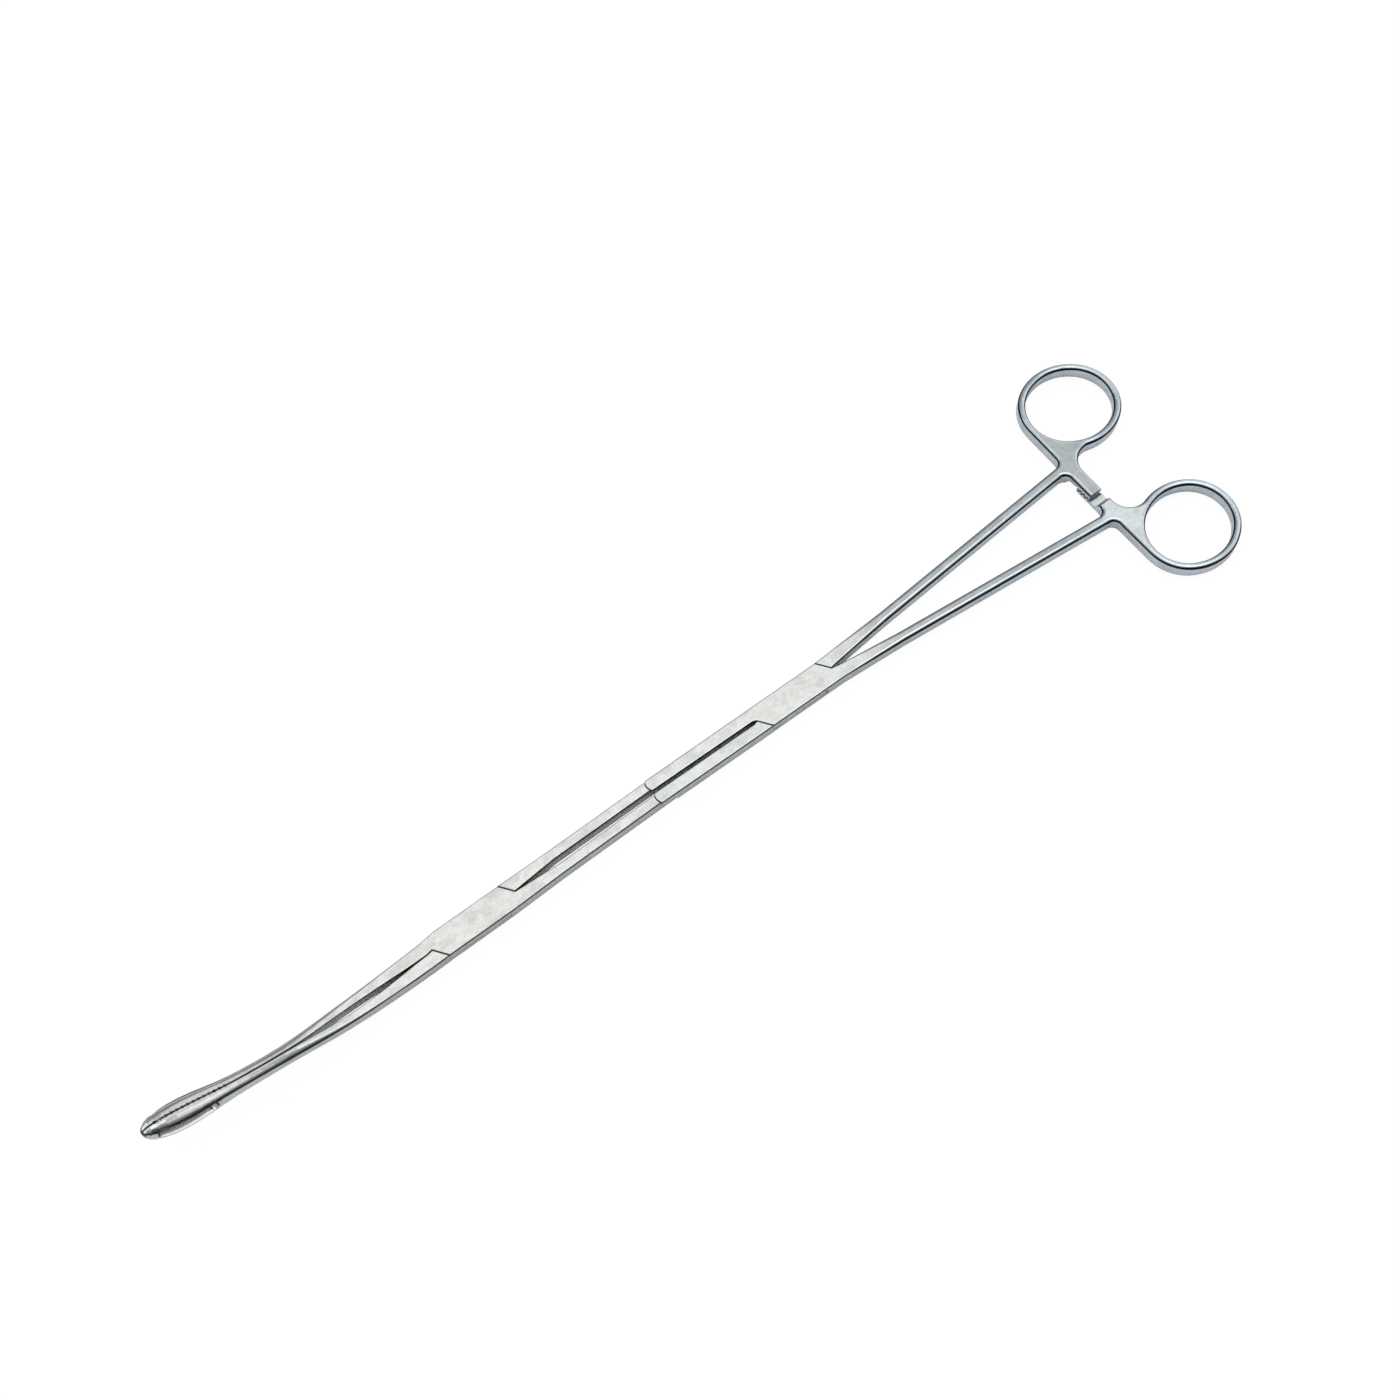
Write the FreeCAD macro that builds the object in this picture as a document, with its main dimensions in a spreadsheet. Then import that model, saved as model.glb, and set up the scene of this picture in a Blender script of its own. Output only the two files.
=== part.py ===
import FreeCAD, Part
import math
import os
import Sketcher

# Double-action tunneling forceps: a pair of handle levers and a pair of jaw levers.
# Each pair crosses in a box lock, and two lap-jointed knuckles join the pairs.
# The origin lies on the underside, below the pin of the rear box lock.
# +X runs to the finger rings, -X to the jaw tips, +Y to the first ring, +Z up. Lengths in mm.

doc = FreeCAD.newDocument("tunneling_forceps")
sheet = doc.addObject("Spreadsheet::Sheet", "Sizes")

SIZES = [
    # Lever stock and pins
    ("PairThickness", 4.8, "height of both lever pairs, flat top to flat underside"),
    ("EdgeBreak", 0.35, "rounding of the crisp edges on boxes and arms"),
    ("BoxPinDiameter", 3.2, "pin through each box lock"),
    ("KnucklePinDiameter", 2.2, "pin through each knuckle"),
    ("RunningClearance", 0.03, "radial, pin in the lever that turns on it"),
    ("OpenPivotClearance", 0.15, "radial, at the knuckle where the linkage is opened"),
    # Box locks
    ("BoxHalfWidth", 4.1, "axis to the side face of a box"),
    ("BoxCornerReach", 10.5, "pin to the outer corner of a cheek, along the axis"),
    ("BoxSeamReach", 13.5, "pin to the point of a cheek on the axis"),
    ("SlotRadius", 10.1, "pin to the round end walls of the slot"),
    ("SlotHeight", 1.9, "slot between the cheeks"),
    ("SlotClearance", 0.05, "each side of the waist, up and down"),
    ("WallClearance", 0.08, "waist to slot wall, shoulder to cheek"),
    ("BoxRootReach", 15.6, "pin to the root of a shank or jaw on its box"),
    ("BoxRootLand", 1.0, "straight length of a handle root before its shank begins"),
    # Linkage
    ("PivotSpacing", 109.9, "rear box pin to front box pin"),
    ("KnuckleReach", 46.9, "rear box pin to the knuckles, along the axis"),
    ("KnuckleOffset", 2.27, "axis to each knuckle pin"),
    ("KnuckleShift", 0.42, "both knuckles set over toward the first ring"),
    ("KnuckleRadius", 3.1, "rounded tongue ends about the knuckle pin"),
    ("LapClearance", 0.05, "between the two tongues of a knuckle"),
    ("PocketClearance", 0.12, "tongue end to the round step facing it"),
    ("HandleArmInner", 0.45, "axis to the inner side of a front arm of the handle pair"),
    ("JawArmInner", 0.92, "axis to the inner side of a rear arm of the jaw pair"),
    ("JawArmOuter", 3.85, "axis to the outer side of a rear arm of the jaw pair"),
    # Handle shanks
    ("ShankRootOffset", 2.38, "axis to the shank centre at the box root"),
    ("ShankRootWidth", 3.9, "shank width at the box root"),
    ("ShankWidth", 3.3, "shank width further back"),
    ("ShankEaseEnd", 36.0, "pin to the place where a shank has its full rounding"),
    ("ShankSlope", 0.084, "sideways run of a shank for each mm back"),
    ("ShankRounding", 1.15, "rounding along shanks, necks and rings"),
    ("NeckLead", 12.3, "end of the plain shank to the middle of the ratchet arms"),
    ("HandleLean", -0.0113, "both handles set over toward the second ring, per mm"),
    # Finger rings
    ("RingReach", 127.0, "pin to the ring centre, along the axis"),
    ("RingOffset", 26.2, "axis to the ring centre"),
    ("RingHoleLength", 27.4, "long way of the finger hole"),
    ("RingHoleWidth", 24.7, "short way of the finger hole"),
    ("RingWire", 2.4, "width of the ring around the hole"),
    ("RingToeIn", 7.0, "degrees, long way of the hole against the axis"),
    ("NeckFoot", 0.8, "front side of a ratchet arm back to the foot of the neck"),
    ("NeckSweep", 6.0, "hollow corner between a neck and the ring behind it"),
    ("InnerCorner", 2.4, "hollow corners between shank, neck and ratchet arm"),
    # Ratchet
    ("RatchetReach", 112.3, "pin to the middle of the ratchet arms"),
    ("RatchetWidth", 4.7, "width of a ratchet arm"),
    ("UpperArmEnd", 2.8, "past the axis, end of the upper ratchet arm"),
    ("LowerArmEnd", 2.4, "past the axis, end of the lower ratchet arm"),
    ("RatchetStep", 5.6, "axis to the step where a ratchet arm is thinned"),
    ("RatchetToothPitch", 1.5, "one ratchet tooth to the next"),
    ("RatchetToothDepth", 0.8, "depth of the ratchet teeth"),
    ("RatchetGap", 0.10, "tooth crests of one arm to those of the other"),
    # Jaws
    ("JawTurn", 1.3, "degrees, jaws set over toward -Y about the front pin"),
    ("JawCurveStart", 21.0, "front box pin to the start of the upward curve"),
    ("JawCurveRadius", 146.0, "radius of the upward curve at mid height"),
    ("JawLength", 102.4, "front box pin to the nose, along the curve"),
    ("JawWaistBack", 42.4, "nose back to the slim part of the shank, along the curve"),
    ("JawThroatBack", 26.4, "nose back to the place where the head begins to swell"),
    ("JawHeadBack", 11.9, "nose back to the fullest part of the head"),
    ("JawRootHalfWidth", 3.85, "seam to the outer side at the box root"),
    ("JawShankHalfWidth", 3.3, "the same in the middle of the shank"),
    ("JawWaistHalfWidth", 2.5, "the same at the slim part"),
    ("JawThroatHalfWidth", 2.55, "the same at the start of the swelling"),
    ("JawHeadHalfWidth", 3.65, "the same at the fullest part"),
    ("JawShankHeight", 4.25, "height in the middle of the shank"),
    ("JawWaistHeight", 4.7, "height at the slim part"),
    ("JawThroatHeight", 5.6, "height at the start of the swelling"),
    ("JawHeadHeight", 7.6, "height at the fullest part"),
    ("LensGap", 1.6, "widest gap between the jaw shanks"),
    ("SeamGap", 0.05, "gap between the closed jaw faces"),
    ("WindowRearBack", 19.8, "nose back to the rear end of the window"),
    ("WindowFrontBack", 3.4, "nose back to the front end of the window"),
    ("WindowRise", 0.9, "middle of the window above the middle of the head"),
    ("WindowHeight", 2.2, "window height at the jaw face"),
    ("WindowFlare", 1.2, "extra window height at the outer side"),
    ("JawToothBack", 23.6, "nose back to the first jaw tooth"),
    ("JawToothPitch", 1.6, "one jaw tooth to the next"),
    ("JawToothDepth", 0.5, "depth of the jaw teeth"),
]
sheet.set("A1", "Size")
sheet.set("B1", "Value")
sheet.set("C1", "Meaning")
for row, (alias, value, meaning) in enumerate(SIZES, start=2):
    sheet.set("A%d" % row, alias)
    sheet.set("B%d" % row, str(value))
    sheet.setAlias("B%d" % row, alias)
    sheet.set("C%d" % row, meaning)
doc.recompute()


def size(alias):
    """Read one driving size from the sheet."""
    return float(getattr(sheet, alias))


def at(x, y, z=0.0):
    return FreeCAD.Vector(x, y, z)


HEIGHT = size("PairThickness")
MIDDLE = HEIGHT / 2
SEAM_X = size("BoxSeamReach")
CORNER_X = size("BoxCornerReach")
HALF_BOX = size("BoxHalfWidth")
ROOT_X = size("BoxRootReach")
LAND_X = ROOT_X + size("BoxRootLand")
NECK_X = size("RatchetReach") - size("NeckLead")
FRONT_PIN = at(-size("PivotSpacing"), 0)
KNUCKLES = {side: at(-size("KnuckleReach"), side * size("KnuckleOffset") + size("KnuckleShift"))
            for side in (1, -1)}


# General shapes

def prism(points, low, high):
    """Stand a closed outline up between two heights. A tuple of three points is an arc."""
    edges = []
    here = points[0]
    for item in points[1:] + [points[0]]:
        if isinstance(item, tuple):
            edges.append(Part.Arc(here, item[0], item[1]).toShape())
            here = item[1]
        elif (item - here).Length > 1e-6:
            edges.append(Part.LineSegment(here, item).toShape())
            here = item
    face = Part.Face(Part.Wire(edges))
    face.translate(at(0, 0, low))
    return face.extrude(at(0, 0, high - low))


def disc(centre, radius, low, high):
    return Part.makeCylinder(radius, high - low, at(centre.x, centre.y, low))


def block(x0, x1, y0, y1, z0, z1):
    return Part.makeBox(abs(x1 - x0), abs(y1 - y0), abs(z1 - z0),
                        at(min(x0, x1), min(y0, y1), min(z0, z1)))


def rim_edges(shape, keep_out, low=0.0, high=None):
    """Edges that lie in the top or bottom plane, without those on a joining plane."""
    high = HEIGHT if high is None else high
    found = []
    for edge in shape.Edges:
        box = edge.BoundBox
        flat = box.ZMax - box.ZMin < 1e-5
        level = abs(box.ZMax - low) < 1e-5 or abs(box.ZMax - high) < 1e-5
        if flat and level and not any(test(edge) for test in keep_out):
            found.append(edge)
    return found


def on_plane(point, normal):
    """Tell whether both ends of an edge lie on a plane."""
    def test(edge):
        return all(abs((v.Point - point).dot(normal)) < 1e-4 for v in edge.Vertexes)
    return test


# Handle shanks

def handle_rounding():
    """Rounding of shanks, necks and rings, kept under half the ring wire."""
    return min(size("ShankRounding"), size("RingWire") * 0.47)


def shank_direction(side):
    return at(1, side * size("ShankSlope") + size("HandleLean")).normalize()


def shank_centre(side, x):
    run = x - ROOT_X
    y = side * (size("ShankRootOffset") + size("ShankSlope") * run) + size("HandleLean") * run
    return at(x, y)


def shank_plane(side, x):
    return on_plane(shank_centre(side, x), shank_direction(side))


def across(side):
    """Unit vector across a shank, away from the axis."""
    way = shank_direction(side)
    return at(-way.y, way.x) * side


def rounded_section(foot, outward, upward, width, height, near, far):
    """A rounded rectangle that stands outward from its foot, with one rounding at each side."""
    half = height / 2
    corners = [(width, far - half), (width, half - far), (width - far, half), (near, half),
               (0, half - near), (0, near - half), (near, -half), (width - far, -half)]
    a = far * (1 - math.sqrt(0.5))
    b = near * (1 - math.sqrt(0.5))
    middles = [(width - a, half - a), (b, half - b), (b, b - half), (width - a, a - half)]
    spots = [foot + outward * u + upward * v for u, v in corners]
    bends = [foot + outward * u + upward * v for u, v in middles]
    edges = []
    for i in range(4):
        edges.append(Part.LineSegment(spots[2 * i], spots[2 * i + 1]).toShape())
        edges.append(Part.Arc(spots[2 * i + 1], bends[i], spots[(2 * i + 2) % 8]).toShape())
    return Part.Wire(edges)


def shank_section(side, x, width, rounding):
    out = across(side)
    foot = shank_centre(side, x) - out * (width / 2) + at(0, 0, MIDDLE)
    return rounded_section(foot, out, at(0, 0, 1), width, HEIGHT, rounding, rounding)


def shank(side):
    """Handle shank, from its box to its neck, easing from crisp to rounded edges."""
    return Part.makeLoft([
        shank_section(side, LAND_X, size("ShankRootWidth"), size("EdgeBreak")),
        shank_section(side, size("ShankEaseEnd"), size("ShankWidth"), handle_rounding()),
        shank_section(side, NECK_X, size("ShankWidth"), handle_rounding())], True, True)


# Finger rings, necks and ratchet arms

def ring_centre(side):
    reach = size("RingReach")
    return at(reach, side * size("RingOffset") + size("HandleLean") * (reach - ROOT_X))


def ring_turn(side):
    return FreeCAD.Rotation(at(0, 0, 1), -side * size("RingToeIn"))


def end_arc():
    """Half length of the finger hole and the radius of the arcs at its two ends."""
    a = size("RingHoleLength") / 2
    b = size("RingHoleWidth") / 2
    return a, b - (a - b) / 2


def oval_face(side, extra):
    """Oval of four arcs about a ring centre, larger than the hole by a margin all round."""
    centre = ring_centre(side)
    turn = ring_turn(side)
    a, end_radius = end_arc()
    b = size("RingHoleWidth") / 2
    if abs(a - b) < 0.01:
        return Part.Face(Part.Wire(Part.Circle(centre, at(0, 0, 1), a + extra).toShape()))
    side_radius = ((a - end_radius) ** 2 + b * b - end_radius ** 2) / (2 * (b - end_radius))
    end_centre = at(a - end_radius, 0)
    side_centre = at(0, b - side_radius)
    meet = side_centre + (end_centre - side_centre) * ((side_radius + extra) / (side_radius - end_radius))
    ends = {(u, v): centre + turn.multVec(at(u * meet.x, v * meet.y)) for u in (1, -1) for v in (1, -1)}
    tops = {v: centre + turn.multVec(at(0, v * (b + extra))) for v in (1, -1)}
    tips = {u: centre + turn.multVec(at(u * (a + extra), 0)) for u in (1, -1)}
    return Part.Face(Part.Wire([
        Part.Arc(ends[1, 1], tops[1], ends[-1, 1]).toShape(),
        Part.Arc(ends[-1, 1], tips[-1], ends[-1, -1]).toShape(),
        Part.Arc(ends[-1, -1], tops[-1], ends[1, -1]).toShape(),
        Part.Arc(ends[1, -1], tips[1], ends[1, 1]).toShape()]))


def flat_face(points):
    return Part.Face(Part.makePolygon(points + [points[0]]))


def neck_outline(side, low, high):
    """Plan of a neck: straight from its front foot to touch the ring, and back inside the wire."""
    a, end_radius = end_arc()
    centre = ring_centre(side) - ring_turn(side).multVec(at(a - end_radius, 0))
    radius = end_radius + size("RingWire")
    to_foot = low - centre
    lean = math.acos(min(radius / to_foot.Length, 1.0))
    touch = FreeCAD.Rotation(at(0, 0, 1), math.degrees(-side * lean)).multVec(to_foot)
    touch = centre + touch.normalize() * radius
    inside = at(max(high.x, centre.x - end_radius - size("RingWire") / 2), centre.y)
    return [low, touch, inside, high]


def handle_end(side):
    """Neck, finger ring and the blank of the ratchet arm, as one rounded piece."""
    way = shank_direction(side)
    out = across(side)
    half = size("ShankWidth") / 2
    start = shank_centre(side, NECK_X)
    front = size("RatchetReach") - size("RatchetWidth") / 2
    rear = size("RatchetReach") + size("RatchetWidth") / 2
    root = shank_centre(side, size("RatchetReach"))
    run = way * ((root.x - start.x) / way.x)
    strip = [start + out * half, start - out * half, start - out * half + run, start + out * half + run]
    tip_y = -side * (max(size("UpperArmEnd"), size("LowerArmEnd")) + 4.0)
    arm = [at(front, root.y), at(rear, root.y), at(rear, tip_y), at(front, tip_y)]
    neck = neck_outline(side, at(front + size("NeckFoot"), root.y), at(rear, root.y))
    pieces = [flat_face(item).extrude(at(0, 0, HEIGHT)) for item in (strip, arm, neck)]
    ring = oval_face(side, size("RingWire")).extrude(at(0, 0, HEIGHT))
    blank = ring.multiFuse(pieces).removeSplitter().Solids[0]
    blank = round_inner_corners(blank, size("NeckSweep"), lambda spot: spot.x > root.x)
    blank = round_inner_corners(blank, size("InnerCorner"), lambda spot: spot.x < root.x)
    blank = blank.cut(oval_face(side, 0.0).extrude(at(0, 0, HEIGHT)))
    rim = rim_edges(blank, [shank_plane(side, NECK_X), on_plane(at(front, tip_y), at(0, 1))])
    return blank.makeFillet(handle_rounding(), rim)


def turns_inward(solid, spot):
    """Tell whether material fills well over half of a small circle about an upright edge."""
    angles = [0.1 + step * math.pi / 6 for step in range(12)]
    circle = [spot + at(0.3 * math.cos(angle), 0.3 * math.sin(angle)) for angle in angles]
    return sum(1 for point in circle if solid.isInside(point, 1e-4, False)) >= 8


def round_inner_corners(solid, radius, chosen):
    """Round each chosen upright edge where the outline turns inward."""
    corners = []
    for edge in solid.Edges:
        ends = [vertex.Point for vertex in edge.Vertexes]
        if len(ends) != 2 or abs((ends[1] - ends[0]).z) < HEIGHT - 1e-3 or not chosen(ends[0]):
            continue
        if turns_inward(solid, (ends[0] + ends[1]) * 0.5):
            corners.append(edge)
    return solid.makeFillet(radius, corners).Solids[0] if corners else solid


def ratchet_cut(side):
    """What is taken off a ratchet arm: half its height, the teeth and the square end."""
    x0 = size("RatchetReach") - size("RatchetWidth") / 2 - 1.0
    x1 = size("RatchetReach") + size("RatchetWidth") / 2 + 1.0
    end = size("UpperArmEnd") if side > 0 else size("LowerArmEnd")
    step = size("RatchetStep")
    gap = size("RatchetGap") / 2
    # The first lever keeps its upper half and the second lever its lower half.
    face = MIDDLE + gap if side > 0 else MIDDLE - gap
    beyond = -1.0 if side > 0 else HEIGHT + 1.0
    slope = 2.2
    plan = [at(x0, side * step, face), at(x0, -side * 30.0, face),
            at(x0, -side * 30.0, beyond), at(x0, side * (step + slope), beyond)]
    half = flat_face(plan).extrude(at(x1 - x0, 0, 0))
    square = block(x0, x1, -side * end, -side * 30.0, -1.0, HEIGHT + 1.0)
    depth = size("RatchetToothDepth") * (1 if side > 0 else -1)
    pitch = size("RatchetToothPitch")
    cuts = [half, square]
    reach = 0.0
    while -end + reach + pitch <= step - 1.0 and reach < 5 * pitch - 0.01:
        # One face of each tooth stands steep, the other runs off at a slant.
        y0 = side * (-end + reach + 0.15 * pitch)
        y1 = side * (-end + reach + 0.25 * pitch)
        y2 = side * (-end + reach + pitch)
        notch = flat_face([at(x0, y0, face), at(x0, y1, face + depth), at(x0, y2, face)])
        cuts.append(notch.extrude(at(x1 - x0, 0, 0)))
        reach += pitch
    tool = cuts[0].multiFuse(cuts[1:])
    # Kept to the arm, so that ring and shank are not touched.
    fence = block(x0, x1, side * (step + slope + 0.5), -side * 31.0, -2.0, HEIGHT + 2.0)
    return tool.common(fence)


# Box locks

def cheek_outline(front, rear):
    """Plan of a lever with the cheeks, about its box pin. Its rear runs at -Y, its front at +Y."""
    return rear["inner"] + [at(SEAM_X, 0), at(CORNER_X, HALF_BOX)] \
        + front["outer"] + front["inner"] \
        + [at(-SEAM_X, 0), at(-CORNER_X, -HALF_BOX)] + rear["outer"]


def slot(origin):
    """Room between the cheeks for the waist of the crossing lever."""
    low = MIDDLE - size("SlotHeight") / 2
    high = MIDDLE + size("SlotHeight") / 2
    wide = HALF_BOX + 2.0
    long = SEAM_X + 3.0
    room = disc(at(0, 0), size("SlotRadius"), low, high)
    room = room.fuse(block(0, long, 0, wide, low, high))
    room = room.fuse(block(0, -long, 0, -wide, low, high))
    room.translate(origin)
    return room


def waist(origin):
    """Thin middle of the lever that passes through the slot."""
    low = MIDDLE - size("SlotHeight") / 2 + size("SlotClearance")
    high = MIDDLE + size("SlotHeight") / 2 - size("SlotClearance")
    play = size("WallClearance")
    wide = HALF_BOX - 0.15
    middle = disc(at(0, 0), size("SlotRadius") - play, low, high)
    middle = middle.common(block(-SEAM_X, SEAM_X, -wide, wide, low, high))
    reach = SEAM_X + 0.4
    inner = CORNER_X + 0.6
    for s in (1, -1):
        tail = prism([at(0, 0), at(s * 4, s * play), at(s * reach, s * play), at(s * inner, s * wide),
                      at(0, s * wide)], low, high)
        middle = middle.fuse(tail)
    middle.translate(origin)
    return middle.removeSplitter()


def shoulder(sign):
    """Slanted end of a thick part of the crossing lever, set off from the cheek edge."""
    along = at(CORNER_X - SEAM_X, HALF_BOX).normalize()
    off = at(along.y, -along.x) * size("WallClearance")
    point = at(SEAM_X, 0) + off + along * 0.05
    corner = at(CORNER_X, HALF_BOX) + off
    return point * sign, corner * sign


def pin_bore(centre, diameter, clearance):
    return disc(centre, diameter / 2 + clearance, -1.0, HEIGHT + 1.0)


# Knuckles

def tongue_end(side, toward, inner, outer):
    """End of an arm: corner, middle and corner of its arc about the knuckle pin."""
    pin = KNUCKLES[side]
    radius = size("KnuckleRadius")
    low = size("KnuckleOffset") - inner
    high = outer - size("KnuckleOffset")
    reach_in = math.sqrt(max(radius * radius - low * low, 0.01))
    reach_out = math.sqrt(max(radius * radius - high * high, 0.01))
    return (at(pin.x + toward * reach_out, pin.y + side * high),
            at(pin.x + toward * radius, pin.y),
            at(pin.x + toward * reach_in, pin.y - side * low))


def lap_cut(side, toward, upper):
    """Half the height taken off around a knuckle, leaving one tongue and a round step."""
    pin = KNUCKLES[side]
    room = size("KnuckleRadius") + size("PocketClearance")
    gap = size("LapClearance") / 2
    low, high = (MIDDLE - gap, HEIGHT + 1.0) if upper else (-1.0, MIDDLE + gap)
    around = disc(pin, room, low, high)
    past = block(pin.x, pin.x + toward * (room + 3.0), pin.y - room - 1, pin.y + room + 1, low, high)
    return around.fuse(past)


# Levers of the handle pair

def handle_root(side):
    """Plan of a handle root, outer side first: two corners at the box, two at the shank."""
    aside = across(side) * (size("ShankRootWidth") / 2)
    near = shank_centre(side, ROOT_X)
    far = shank_centre(side, LAND_X)
    return near + aside, far + aside, far - aside, near - aside


def front_arm(side):
    return tongue_end(side, -1, size("HandleArmInner"), HALF_BOX)


def box_handle_lever():
    """Second ring to upper knuckle; carries the cheeks of the rear box lock."""
    outer, outer_end, inner_end, inner = handle_root(-1)
    corner, tip, back = front_arm(1)
    arm_in = size("HandleArmInner")
    plan = cheek_outline({"outer": [corner, (tip, back)], "inner": [at(-SEAM_X - 1.2, arm_in)]},
                         {"inner": [inner_end, inner], "outer": [outer, outer_end]})
    body = prism(plan, 0, HEIGHT).cut(lap_cut(1, -1, False))
    rim = rim_edges(body, [shank_plane(-1, LAND_X)])
    body = body.makeFillet(size("EdgeBreak"), rim)
    body = body.cut(slot(at(0, 0)))
    body = body.cut(pin_bore(at(0, 0), size("BoxPinDiameter"), 0))
    body = body.cut(pin_bore(KNUCKLES[1], size("KnucklePinDiameter"), 0))
    end = handle_end(-1).cut(ratchet_cut(-1))
    return one_solid(body.multiFuse([shank(-1), end]))


def tongue_handle_lever():
    """First ring to lower knuckle; its thin waist passes through the rear box lock."""
    outer, outer_end, inner_end, inner = handle_root(1)
    point, corner = shoulder(1)
    rear = prism([point, inner, inner_end, outer_end, outer, corner], 0, HEIGHT)
    rear = rear.makeFillet(size("EdgeBreak"), rim_edges(rear, [shank_plane(1, LAND_X)]))
    point, corner = shoulder(-1)
    knuckle, tip, back = front_arm(-1)
    arm_in = at(-SEAM_X - 1.2, -size("HandleArmInner"))
    front = prism([point, corner, knuckle, (tip, back), arm_in], 0, HEIGHT)
    front = front.cut(lap_cut(-1, -1, False))
    front = front.makeFillet(size("EdgeBreak"), rim_edges(front, []))
    body = rear.multiFuse([front, waist(at(0, 0))])
    body = body.cut(pin_bore(at(0, 0), size("BoxPinDiameter"), size("RunningClearance")))
    body = body.cut(pin_bore(KNUCKLES[-1], size("KnucklePinDiameter"), 0))
    end = handle_end(1).cut(ratchet_cut(1))
    return one_solid(body.multiFuse([shank(1), end]))


# Jaws

def jaw_spot(run):
    """Point, heading and upward normal on the mid line of the jaws, a distance from the front pin."""
    start = size("JawCurveStart")
    radius = size("JawCurveRadius")
    if run <= start:
        return FRONT_PIN + at(-run, 0, MIDDLE), at(-1, 0, 0), at(0, 0, 1)
    turn = (run - start) / radius
    spot = FRONT_PIN + at(-start - radius * math.sin(turn), 0, MIDDLE + radius * (1 - math.cos(turn)))
    return spot, at(-math.cos(turn), 0, math.sin(turn)), at(math.sin(turn), 0, math.cos(turn))


def through(run, stations):
    """Smooth course of a size through its stations, level at the last one."""
    runs = [item[0] for item in stations]
    values = [item[1] for item in stations]
    last = len(stations) - 1
    slopes = []
    for k in range(last + 1):
        low, high = max(k - 1, 0), min(k + 1, last)
        slopes.append((values[high] - values[low]) / (runs[high] - runs[low]) if k < last else 0.0)
    if run <= runs[0]:
        return values[0]
    if run >= runs[last]:
        return values[last]
    k = max(i for i in range(last) if runs[i] <= run)
    long = runs[k + 1] - runs[k]
    t = (run - runs[k]) / long
    return (values[k] * (1 + 2 * t) * (1 - t) ** 2 + slopes[k] * long * t * (1 - t) ** 2
            + values[k + 1] * t * t * (3 - 2 * t) - slopes[k + 1] * long * t * t * (1 - t))


def jaw_measures(run):
    """Outer reach, height and gap to the seam of a jaw section, and how far its rounding has grown."""
    length = size("JawLength")
    waist_at = length - size("JawWaistBack")
    head = length - size("JawHeadBack")
    reaches = [LAND_X, LAND_X + (waist_at - LAND_X) * 0.585, waist_at, length - size("JawThroatBack"), head]
    names = ("Shank", "Waist", "Throat", "Head")
    widths = [size("JawRootHalfWidth")] + [size("Jaw%sHalfWidth" % name) for name in names]
    heights = [HEIGHT] + [size("Jaw%sHeight" % name) for name in names]
    width = through(run, list(zip(reaches, widths)))
    height = through(run, list(zip(reaches, heights)))
    closing = size("SeamGap") / 2
    share = min(max((run - LAND_X) / (waist_at - LAND_X), 0.0), 1.0)
    bow = max(math.sin(math.pi * share), 0.0) ** 1.4
    gap = closing + (size("LensGap") / 2 - closing) * bow
    if run > head:
        u = min((run - head) / (length - head), 1.0)
        shrink = max(max(1 - u ** 2.4, 0.0) ** (1 / 2.4), 0.14)
        width *= shrink
        height *= shrink
    return width, height, gap, share


def jaw_section(run, side):
    """Section of one jaw: nearly flat to the seam and rounded on the outer side."""
    width, height, gap, share = jaw_measures(run)
    spot, heading, up = jaw_spot(run)
    room = width - gap
    crisp = size("EdgeBreak")
    full = min(height * 0.45, room * 0.8)
    near = min(crisp, room * 0.12)
    far = min(crisp + (full - crisp) * share ** 1.6, full)
    return rounded_section(spot + at(0, side * gap, 0), at(0, side, 0), up, room, height, near, far)


def jaw_blank(side):
    """Jaw shank and head, swept along the upward curve to a bullet nose."""
    tail = size("JawHeadBack")
    head = size("JawLength") - tail
    strips = 20
    runs = [LAND_X + (head - LAND_X) * k / strips for k in range(strips + 1)]
    runs += [head + tail * k for k in (0.3, 0.55, 0.75, 0.88, 0.96, 0.993)]
    return Part.makeLoft([jaw_section(run, side) for run in runs], True, True)


def jaw_window(side):
    """Lengthwise opening through a jaw head, flaring toward the outer side."""
    def frame(extra, y):
        half = (size("WindowHeight") + extra) / 2
        first = size("JawLength") - size("WindowRearBack") - extra / 2
        last = size("JawLength") - size("WindowFrontBack") + extra / 2

        def spot(run, rise, ahead=0.0):
            p, heading, up = jaw_spot(run)
            return p + up * (size("WindowRise") + rise) + heading * ahead + at(0, y, 0)
        inner = first + size("WindowHeight") / 2
        outer = last - size("WindowHeight") / 2
        half_way = (inner + outer) / 2
        return Part.Wire([
            Part.Arc(spot(inner, half), spot(half_way, half), spot(outer, half)).toShape(),
            Part.Arc(spot(outer, half), spot(outer, 0, half), spot(outer, -half)).toShape(),
            Part.Arc(spot(outer, -half), spot(half_way, -half), spot(inner, -half)).toShape(),
            Part.Arc(spot(inner, -half), spot(inner, 0, -half), spot(inner, half)).toShape()])
    near = frame(0.0, -side * 0.5)
    face = frame(0.0, side * 1.0)
    far = frame(size("WindowFlare"), side * (size("JawHeadHalfWidth") + 0.4))
    return Part.makeLoft([near, face], True, True).fuse(Part.makeLoft([face, far], True, True))


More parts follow.
